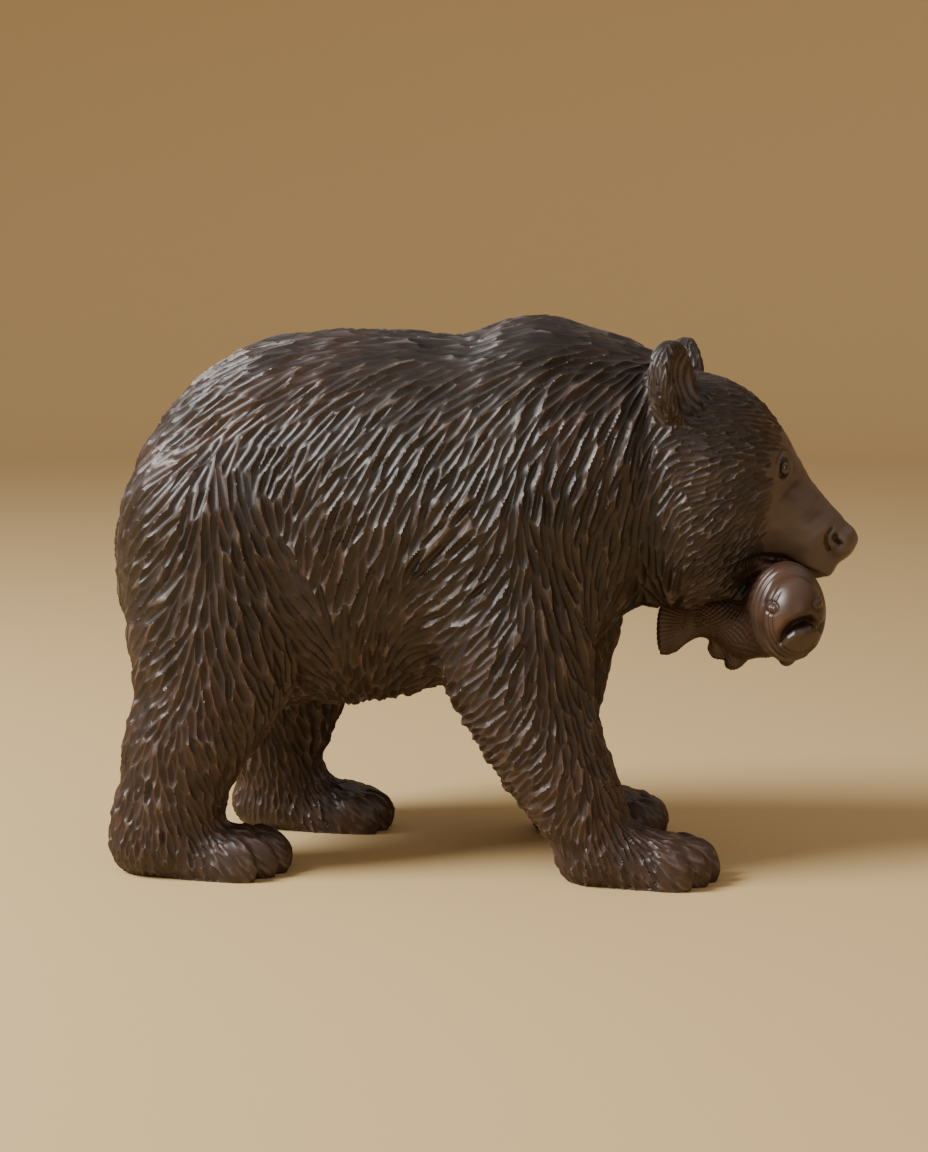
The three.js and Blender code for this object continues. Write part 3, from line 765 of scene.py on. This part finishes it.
FISH_MOUTH = [
    (157.5, 129.5), (159.5, 134.5), (163.5, 138.5), (168.5, 140.5), (174, 142), (179, 138.5),
    (182.5, 130.5)]
FISH_EYES = [(153.2, 147.5), (177.5, 150)]
GILL_MIDDLE, GILL_RADII = (167.5, 142.5), (20.5, 26)
GILL_ARCS = [(0.70, 0.7), (0.80, 0.9), (0.90, 1.0)]      # share of the radii, depth
SCALE, SCALE_WIDTH, TAIL_ROOT = 3.2, 0.16, (122, 131)


def salmon_field(points, reach=0):
    """Body and tail of the salmon with its fins."""
    d = blend(loft(points, 1, FISH_BODY, FISH_CAPS), loft(points, 0, FISH_TAIL, TAIL_CAPS),
              TAIL_FILLET)
    for at, radii, slope in FINS:
        d = blend(d, ellipsoid(turned(points, at, 0, slope), (0, 0, 0), radii), FIN_FILLET)
    return d


def salmon_relief(points, normals):
    """Mouth, eyes, gill covers, scales and fin rays of the salmon, as heights along the normals."""
    x, y, z = points.T
    front = smoothstep(-52, -60, y)
    relief = np.zeros(len(points))
    mouth, share = along_line(points, FISH_MOUTH, (0, 2))
    gape = 1.2 + 1.7 * np.sin(math.pi * share)
    relief += front * (2.0 + 5.0 * np.sin(math.pi * share)) * groove(mouth, gape)
    for eye_x, eye_z in FISH_EYES:
        r = np.hypot(x - eye_x, z - eye_z)
        relief += front * (1.3 * np.exp(-(r / 1.9) ** 2) + 0.7 * groove(r - 3.1, 0.7))
    # Gill covers: nested arcs round the cheek, on its rear and lower side.
    across, up = x - GILL_MIDDLE[0], z - GILL_MIDDLE[1]
    q = np.hypot(across / GILL_RADII[0], up / GILL_RADII[1])
    turn = np.mod(np.degrees(np.arctan2(up, across)), 360)
    cheek = smoothstep(-40, -46, y) * smoothstep(118, 140, turn) * smoothstep(318, 292, turn)
    for ring, depth in GILL_ARCS:
        relief += cheek * depth * groove(q - ring, 0.03)
    for ring in (-46, -50.5, -55):
        relief += 0.8 * groove(y - ring, 0.8) * smoothstep(160, 152, x) * (x > 140)
    # Scales: two crossing sets of fine cuts over the flank, and plain lines along the belly.
    body = smoothstep(112, 116, x) * smoothstep(152, 146, x) * (y > -46)
    rise = z - np.interp(x, [98, 118, 133, 152], [126, 133, 129.5, 134])
    arc = np.arctan2(rise, -(y + 15)) * 13
    flank = smoothstep(-10, -5, rise)
    relief += 0.38 * (body * flank) * (comb((x + arc) / SCALE, SCALE_WIDTH)
                                       + comb((x - arc) / SCALE, SCALE_WIDTH))
    relief += 0.3 * body * (1 - flank) * comb(arc / 2.6, 0.2)
    # Rays of the tail fin and of the small fins.
    fan = np.degrees(np.arctan2(z - TAIL_ROOT[1], TAIL_ROOT[0] - x))
    relief += 0.32 * smoothstep(114, 110, x) * comb(fan / 5.5, 0.2)
    relief += 0.3 * smoothstep(120, 117, z) * (x < 160) * comb((x + 0.6 * z) / 1.9, 0.2)
    return relief


# ---- finishes ------------------------------------------------------------------------------

# The lighter ridge colour stands for rubbed wear and also for a painted sheen where the ridges
# catch the light.
BEAR_COAT, BEAR_RIDGE_WEAR_AND_SHEEN_SHARE = 0.06, 0.4
SALMON_RIDGE_WEAR_AND_SHEEN = (0.16, 0.085, 0.05, 1)
SALMON_GLOSS = (0.47, 0.12, 0.12)      # roughness, coat, share of the ridge colour on the ridges: rubbed wear and painted sheen
EYE_COLOUR, EYE_ROUGHNESS, EYE_COAT = (0.035, 0.021, 0.014, 1), 0.22, 0.6
PAINTED_HOLLOW_SHADE = (0.35, 0.33, 0.33)       # painted shade in the deepest hollows, as shares of the dark stain
DEEPEST_CUT, DEEPEST_LINE = 1.9, 2.2   # depths in millimetres where cut_depth is 1

class Finish:
    """A material and short calls that add its nodes."""

    def __init__(self, name):
        """Starts a material with its own node tree."""
        self.material = bpy.data.materials.new(name)
        self.material.use_nodes = True
        self.tree = self.material.node_tree
        self.shader = self.tree.nodes["Principled BSDF"]

    def put(self, socket, value):
        """Links an output to a socket, or sets the socket to a constant."""
        if isinstance(value, bpy.types.NodeSocket):
            self.tree.links.new(value, socket)
        else:
            socket.default_value = value

    def node(self, kind, values=None, **settings):
        """A new node with its settings, and its inputs put by name."""
        node = self.tree.nodes.new(kind)
        for key, value in settings.items():
            setattr(node, key, value)
        for key, value in (values or {}).items():
            self.put(node.inputs[key], value)
        return node

    def attribute(self, name):
        """A mesh attribute as a value."""
        return self.node("ShaderNodeAttribute", attribute_name=name).outputs["Fac"]

    def noise(self, scale, stretch, detail, rough=0.55):
        """Noise on Object coordinates, drawn out along an axis where stretch is below 1."""
        place = self.node("ShaderNodeTexCoord").outputs["Object"]
        place = self.node("ShaderNodeMapping", {"Vector": place, "Scale": stretch}).outputs[0]
        return self.node("ShaderNodeTexNoise", {
            "Vector": place, "Scale": scale, "Detail": detail, "Roughness": rough}).outputs["Fac"]

    def span(self, value, low, high, to_low=0.0, to_high=1.0):
        """Maps low to high smoothly onto another range."""
        return self.node("ShaderNodeMapRange", {
            "Value": value, "From Min": low, "From Max": high, "To Min": to_low,
            "To Max": to_high}, interpolation_type="SMOOTHSTEP").outputs["Result"]

    def mix(self, share, a, b, how="MIX"):
        """Mixes colour b into colour a."""
        node = self.node("ShaderNodeMix", data_type="RGBA", blend_type=how)
        self.put(node.inputs["Factor"], share)
        self.put(node.inputs[6], a)
        self.put(node.inputs[7], b)
        return node.outputs[2]

    def math(self, how, a, b):
        """One arithmetic step."""
        node = self.node("ShaderNodeMath", operation=how)
        self.put(node.inputs[0], a)
        self.put(node.inputs[1], b)
        return node.outputs[0]


def wood_finish(name, settings, ridge_wear_and_sheen, roughness, coat_weight, ridge_wear_and_sheen_share):
    """Stained wood: long grain, blotchy stain, cuts of differing tone, ridges lighter from rubbed
    wear and a painted sheen, and painted shade in the hollows.
    """
    f = Finish(name)
    dark, middle, warm = (tuple(c) for c in (settings.dark, settings.middle, settings.warm))
    grain = f.noise(60, (0.16, 1, 1), 6, 0.6)
    blotch = f.noise(11, (1, 1, 1), 3)
    fine = f.noise(420, (0.10, 1, 1), 5, 0.65)
    colour = f.mix(f.span(grain, 0.32, 0.72), dark, middle)
    colour = f.mix(f.span(blotch, 0.50, 0.72, 0, 0.65), colour, warm)
    # Painted shade: the lower half leans towards the reddish stain as wood looks in shade; the
    # muzzle's and the salmon's warm tint is their stain.
    colour = f.mix(f.math("MULTIPLY", f.attribute("warmth"), 0.75), colour, warm)
    tone = f.span(f.attribute("cut_tone"), 0, 1, 0.70, 1.28)
    colour = f.mix(1.0, colour, f.node("ShaderNodeCombineColor", {
        "Red": tone, "Green": tone, "Blue": tone}).outputs[0], "MULTIPLY")
    # Ridges lighter: partly rubbed wear, partly a painted sheen standing in for the light the
    # ridges catch.
    ridge = f.span(f.attribute("cut_depth"), 0.22, 0.0)
    colour = f.mix(f.math("MULTIPLY", ridge, ridge_wear_and_sheen_share), colour, ridge_wear_and_sheen)
    # Painted shade: the deepest parts of the cuts are darkened towards a darker copy of the dark
    # stain.
    deep = f.span(f.attribute("cut_depth"), 0.62, 1.0, 0, 0.6)
    colour = f.mix(deep, colour, (*(c * share for c, share in zip(dark, PAINTED_HOLLOW_SHADE)), 1))
    f.put(f.shader.inputs["Base Color"], colour)
    sheen = f.span(f.math("ADD", f.math("MULTIPLY", fine, 0.5), f.math("MULTIPLY", blotch, 0.5)),
                   0.3, 0.7, roughness + 0.08, roughness - 0.08)
    f.put(f.shader.inputs["Roughness"], sheen)
    for key, value in (("Coat Weight", coat_weight), ("Coat Roughness", 0.28),
                       ("Specular IOR Level", 0.5)):
        f.shader.inputs[key].default_value = value
    bump = f.node("ShaderNodeBump", {"Strength": 0.35, "Distance": 0.00025, "Height": fine})
    f.put(f.shader.inputs["Normal"], bump.outputs["Normal"])
    return f.material


def plain_finish(name, colour, roughness, coat_weight=0.0):
    """One colour and one roughness."""
    f = Finish(name)
    for key, value in (("Base Color", colour), ("Roughness", roughness),
                       ("Coat Weight", coat_weight)):
        f.shader.inputs[key].default_value = value
    return f.material


# ---- settings ------------------------------------------------------------------------------

def colour_setting(name, description, default):
    """A colour shown as a swatch."""
    return bpy.props.FloatVectorProperty(
        name=name, description=description, default=default, size=4, subtype="COLOR", min=0, max=1)


class CarvingSettings(bpy.types.PropertyGroup):
    """Sizes and stain of the bear."""

    body_step: bpy.props.FloatProperty(
        name="Body Net", description="Mesh width of the body's net in millimetres", default=1.05,
        min=0.5, max=4)
    head_step: bpy.props.FloatProperty(
        name="Head Net", description="Mesh width of the head's net in millimetres", default=0.8,
        min=0.5, max=4)
    triangles: bpy.props.IntProperty(
        name="Triangles", description="Triangles kept in one piece of the bear", default=196000,
        min=5000, max=199000)
    ridge_angle: bpy.props.FloatProperty(
        name="Ridge Angle", description="Edges sharper than this keep a crisp ridge", default=34,
        min=5, max=90)
    seed: bpy.props.IntProperty(
        name="Seed", description="Starts the random placing of the cuts", default=11, min=0)
    dark: colour_setting("Dark Stain", "Stain in the dense grain", (0.0158, 0.0088, 0.0064, 1))
    middle: colour_setting("Stain", "Main colour of the stained wood", (0.039, 0.0235, 0.0172, 1))
    # The warm stain tints the blotches and the muzzle, and on the lower half it is painted shade.
    warm: colour_setting("Warm Stain", "Reddish places", (0.052, 0.0225, 0.0140, 1))
    # The ridge colour is partly rubbed wear and partly a painted sheen on the ridges.
    ridge_wear_and_sheen: colour_setting("Worn Ridge", "Rubbed ridges between cuts", (0.17, 0.132, 0.112, 1))
    roughness: bpy.props.FloatProperty(
        name="Roughness", description="Roughness of the wax finish", default=0.50, min=0, max=1)


class SalmonSettings(bpy.types.PropertyGroup):
    """Size of the salmon's net, and its stain."""

    step: bpy.props.FloatProperty(
        name="Net", description="Mesh width of the salmon's net in millimetres", default=0.6,
        min=0.4, max=4)
    triangles: bpy.props.IntProperty(
        name="Triangles", description="Triangles kept in the salmon", default=110000, min=5000,
        max=199000)
    dark: colour_setting("Dark Stain", "Stain in the dense grain", (0.022, 0.0115, 0.007, 1))
    middle: colour_setting("Stain", "Main colour of the stained wood", (0.030, 0.0170, 0.0112, 1))
    warm: colour_setting("Warm Stain", "Reddish places", (0.060, 0.025, 0.0125, 1))


class StageSettings(bpy.types.PropertyGroup):
    """Floor, lights and camera."""

    floor: colour_setting("Floor", "Colour of the studio paper", (0.61, 0.43, 0.205, 1))
    key_power: bpy.props.FloatProperty(
        name="Key Light", description="Power of the soft light on the left", default=80,
        unit="POWER")
    fill_power: bpy.props.FloatProperty(
        name="Fill Light", description="Power of the light beside the camera", default=5,
        unit="POWER")
    sky: bpy.props.FloatProperty(
        name="Room Light", description="Strength of the light from all round", default=0.5, min=0)
    lens: bpy.props.FloatProperty(
        name="Lens", description="Focal length of the camera", default=72.25, unit="CAMERA")


def form_offset():
    """From the carving's millimetres to the frame's: middle over middle, soles on the floor."""
    low, high = (np.array(corner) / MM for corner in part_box(NODE))
    middle = (low + high) / 2
    return np.array([middle[0] - FORM_MIDDLE[0], middle[1] - FORM_MIDDLE[1], low[2]])


def net_of(field, box, step):
    """A settled net over a field's surface inside a box: points, outward normals and quads."""
    step *= 1.0
    points, quads = draw_net(sample_band(field, *box, step), box[0], step)
    return *settle(field, points), quads


def body_field(points, reach):
    """The bear behind the neck joint, with its legs."""
    joint = np.minimum(points[:, 0] - NECK_JOINT_X - JOINT_LAP, points[:, 2] - NECK_JOINT_Z)
    return np.maximum(bear_field(points, reach), joint)


def neck_and_head_field(points, reach):
    """The bear in front of the neck joint."""
    joint = np.maximum(NECK_JOINT_X - JOINT_LAP - points[:, 0], HEAD_LOW_Z - points[:, 2])
    return np.maximum(bear_field(points, reach), joint)


def spun_quads(rings, segments):
    """Quads between neighbouring rings of points, each ring closed on itself."""
    i, j = np.meshgrid(np.arange(rings - 1), np.arange(segments), indexing="ij")
    here, side = i * segments + j, i * segments + (j + 1) % segments
    return np.stack([here, here + segments, side + segments, side], -1).reshape(-1, 4)


def ball(centre, radii, turn, rings=23, segments=36):
    """Closed round form: rings of latitude times segments of longitude, turned about Z."""
    v = np.linspace(0, math.pi, rings + 2)[1:-1]
    u = np.linspace(0, 2 * math.pi, segments, endpoint=False)
    v, u = np.meshgrid(v, u, indexing="ij")
    p = np.stack([np.sin(v) * np.cos(u), np.sin(v) * np.sin(u), np.cos(v)], -1).reshape(-1, 3)
    p = np.vstack([p, [[0, 0, 1], [0, 0, -1]]]) * radii
    p = np.stack([*spin(p[:, 0], p[:, 1], -turn), p[:, 2]], 1) + centre
    quads = spun_quads(rings, segments)
    ring = np.arange(segments)
    after, last = (ring + 1) % segments, (rings - 1) * segments
    pole = np.full(segments, len(p) - 2)
    return p, np.vstack([quads[:, [0, 1, 2]], quads[:, [0, 2, 3]],
                         np.stack([pole, ring, after], 1),
                         np.stack([pole + 1, last + after, last + ring], 1)])


# ---- operators -----------------------------------------------------------------------------

class CARVING_OT_bear(bpy.types.Operator):
    """Carve the bear: the body and the head, with one coat of gouge cuts over both"""

    bl_idname = "carving.bear"
    bl_label = "Bear"

    def execute(self, context):
        s = context.scene.carving_bear
        quick = 1.0
        steps = s.body_step * quick, s.head_step * quick
        nets = (net_of(body_field, BODY_BOX, s.body_step),
                net_of(neck_and_head_field, HEAD_BOX, s.head_step))
        # One coat for both, from body points behind the joint and head points before it.
        body, head = (net[0] for net in nets)
        skin = [(body[:, 0] <= NECK_JOINT_X) | (body[:, 2] <= NECK_JOINT_Z),
                head[:, 0] > NECK_JOINT_X]
        area = np.concatenate([np.full(k.sum(), step ** 2) for k, step in zip(skin, steps)])
        cuts = scatter_cuts(*(np.vstack([net[i][k] for net, k in zip(nets, skin)])
                              for i in (0, 1)), area, s.seed)
        wood = wood_finish("stained_wood", s, tuple(s.ridge_wear_and_sheen), s.roughness, BEAR_COAT,
                           BEAR_RIDGE_WEAR_AND_SHEEN_SHARE)
        for name, (points, normals, quads), step in zip(("bear_body", "bear_head"), nets, steps):
            # Past the joint each solid sinks under the other one's skin. Its rim there takes
            # the skin's own normals, so that it goes inward and not along the joint.
            past = points[:, 0] - NECK_JOINT_X
            past = -past if name == "bear_head" else past * (points[:, 2] > NECK_JOINT_Z)
            rim = past > JOINT_LAP - JOINT_RIM
            normals[rim] = unit(slope_of(bear_field, points[rim]))
            carved, height, tone = carve(points, normals, cuts, step)
            if name == "bear_head":
                relief = face_relief(points)
                carved = carved + normals * relief[:, None]
                # The face's grooves add to the cut depth, so the painted shade of the hollows
                # darkens them too.
                height = height + np.minimum(relief, 0) * 0.8
            deep, start, end = JOINT_SINK
            carved = carved - normals * (deep * smoothstep(start, end, past))[:, None]
            carved[:, 2] = np.maximum(carved[:, 2], 0)
            piece = new_piece(name, carved + form_offset(), quads)
            # The colour is warmer on the lower half, a reddish tint painted there as shade, and on
            # the muzzle, whose stain is warmer.
            h = head_frame(points)[:, 0]
            warmth = 0.55 * smoothstep(190, 90, points[:, 2]) * (1 - smoothstep(30, 60, h))
            warmth = warmth + smoothstep(52, 74, h) * (points[:, 2] > 90)
            # cut_depth lightens the ridges with wear and painted sheen, and darkens the hollows
            # with painted shade.
            set_attributes(piece, cut_depth=np.clip(-height / DEEPEST_CUT, 0, 1), cut_tone=tone,
                           warmth=warmth)
            thin(piece, s.triangles, s.ridge_angle)
            stand_for_wood(piece, wood)
        return {"FINISHED"}


class CARVING_OT_eyes(bpy.types.Operator):
    """Set the two eyes in their sockets"""

    bl_idname = "carving.eyes"
    bl_label = "Eyes"

    def execute(self, context):
        gloss = plain_finish("polished_eye", EYE_COLOUR, EYE_ROUGHNESS, EYE_COAT)
        inward = spin(-EYE_SINK, 0, -EYE_TURN)
        x, y = EYE_AT[0] + inward[0], EYE_AT[1] + inward[1]
        for name, side in (("eye_left", 1), ("eye_right", -1)):
            at = np.array([*spin(x, y * side, -HEAD_TURN), EYE_AT[2]]) + NAPE
            points, faces = ball(at, EYE_RADII, HEAD_TURN + side * EYE_TURN)
            piece = new_piece(name, points + form_offset(), faces)
            piece.data.shade_smooth()
            stand_for_wood(piece, gloss)
        return {"FINISHED"}


class CARVING_OT_salmon(bpy.types.Operator):
    """Carve the salmon in the bear's mouth"""

    bl_idname = "carving.salmon"
    bl_label = "Salmon"

    def execute(self, context):
        s = context.scene.carving_salmon
        points, normals, quads = net_of(salmon_field, SALMON_BOX, s.step)
        relief = salmon_relief(points, normals)
        piece = new_piece("salmon", points + normals * relief[:, None] + form_offset(), quads)
        # The salmon's grooves set its cut depth, which darkens them with painted shade and lightens
        # its ridges with wear and painted sheen.
        set_attributes(piece, cut_depth=np.clip(-relief / DEEPEST_LINE, 0, 1),
                       cut_tone=0.5 + 0.4 * wave_noise(points, 14, 8),
                       warmth=np.full(len(points), 0.35))
        thin(piece, s.triangles, 40)
        stand_for_wood(piece, wood_finish("salmon_wood", s, SALMON_RIDGE_WEAR_AND_SHEEN, *SALMON_GLOSS))
        return {"FINISHED"}


class CARVING_OT_stage(bpy.types.Operator):
    """Lay out the studio paper, the lights and the camera"""

    bl_idname = "carving.stage"
    bl_label = "Stage"

    def execute(self, context):
        s = context.scene.carving_stage
        self.paper(tuple(s.floor))
        self.light("key_light", (-1.5, -0.6, 1.45), 0.85, s.key_power, (1, 0.99, 0.97))
        self.light("fill_light", (0.7, -1.7, 0.75), 1.2, s.fill_power, (1, 0.94, 0.88))
        world = bpy.data.worlds.new("room")
        world.use_nodes = True
        sky = world.node_tree.nodes["Background"].inputs
        sky["Color"].default_value, sky["Strength"].default_value = (1, 0.96, 0.9, 1), s.sky
        context.scene.world = world
        self.camera(context, s.lens)
        return {"FINISHED"}

    @staticmethod
    def paper(colour):
        """A dish of studio paper: its profile, a flat floor and a quarter circle, spun about Z."""
        bend = np.linspace(0, math.pi / 2, 25)
        radius = np.concatenate([[0.02, 0.5, 1.0, 1.6, 2.2, 2.8], 3.0 + 1.2 * np.sin(bend), [4.2]])
        height = np.concatenate([np.zeros(6), 1.2 - 1.2 * np.cos(bend), [3.2]])
        segments = 96
        turn = np.linspace(0, 2 * math.pi, segments + 1)[:-1]
        ring = np.stack([np.outer(radius, np.cos(turn)), np.outer(radius, np.sin(turn)),
                         np.outer(height, np.ones(segments))], -1)
        points = np.vstack([ring.reshape(-1, 3), [[0, 0, 0]]])
        faces = spun_quads(len(radius), segments).tolist()
        faces += [[k, (k + 1) % segments, len(points) - 1] for k in range(segments)]
        mesh = bpy.data.meshes.new("studio_paper")
        mesh.from_pydata(points.tolist(), [], faces)
        mesh.shade_smooth()
        paper = bpy.data.objects.new("studio_paper", mesh)
        mesh.materials.append(plain_finish("studio_paper", colour, 0.9))
        bpy.context.scene.collection.objects.link(paper)

    @staticmethod
    def light(name, place, size, power, colour):
        """A soft round light that faces the middle of the carving."""
        data = bpy.data.lights.new(name, "AREA")
        data.shape, data.size, data.energy, data.color = "DISK", size, power, colour
        lamp = bpy.data.objects.new(name, data)
        lamp.location = place
        aim = Vector(LIGHT_AIM) - Vector(place)
        lamp.rotation_euler = aim.to_track_quat("-Z", "Y").to_euler()
        bpy.context.scene.collection.objects.link(lamp)

    @staticmethod
    def camera(context, lens):
        """A camera at its place beside the carving, level from side to side."""
        data = bpy.data.cameras.new("camera")
        data.sensor_width, data.lens = 36, lens
        camera = bpy.data.objects.new("camera", data)
        azimuth, pitch = math.radians(CAMERA_AZIMUTH), math.radians(CAMERA_PITCH)
        back = Vector((math.sin(azimuth) * math.cos(pitch), -math.cos(azimuth) * math.cos(pitch),
                       math.sin(pitch)))
        right = Vector((math.cos(azimuth), math.sin(azimuth), 0))
        turn = Matrix((right, back.cross(right), back)).transposed()
        place = Vector((np.array(CAMERA_AT) + form_offset()) * MM)
        camera.matrix_world = Matrix.Translation(place) @ turn.to_4x4()
        context.scene.collection.objects.link(camera)
        context.scene.camera = camera


class CARVING_PT_parts(bpy.types.Panel):
    """Lists the carving's operators"""

    bl_idname = "CARVING_PT_parts"
    bl_label = "Carved Bear"
    bl_space_type = "VIEW_3D"
    bl_region_type = "UI"
    bl_category = "Carving"

    def draw(self, context):
        for group, idname in (("carving_bear", "carving.bear"), (None, "carving.eyes"),
                              ("carving_salmon", "carving.salmon"),
                              ("carving_stage", "carving.stage")):
            box = self.layout.box()
            if group:
                settings = getattr(context.scene, group)
                for key in settings.__annotations__:
                    box.prop(settings, key)
            box.operator(idname)


GROUPS = {"carving_bear": CarvingSettings, "carving_salmon": SalmonSettings,
          "carving_stage": StageSettings}
CLASSES = (*GROUPS.values(), CARVING_OT_bear, CARVING_OT_eyes, CARVING_OT_salmon,
           CARVING_OT_stage, CARVING_PT_parts)


def register():
    """Adds the add-on's classes and the scene's settings."""
    for cls in CLASSES:
        bpy.utils.register_class(cls)
    for name, group in GROUPS.items():
        setattr(bpy.types.Scene, name, bpy.props.PointerProperty(type=group))


def unregister():
    """Takes them away again."""
    for name in GROUPS:
        delattr(bpy.types.Scene, name)
    for cls in reversed(CLASSES):
        bpy.utils.unregister_class(cls)


def main():
    """Builds every piece by its operator."""
    register()
    bpy.ops.carving.stage()
    bpy.ops.carving.bear()
    bpy.ops.carving.eyes()
    bpy.ops.carving.salmon()


if __name__ == "__main__":
    main()
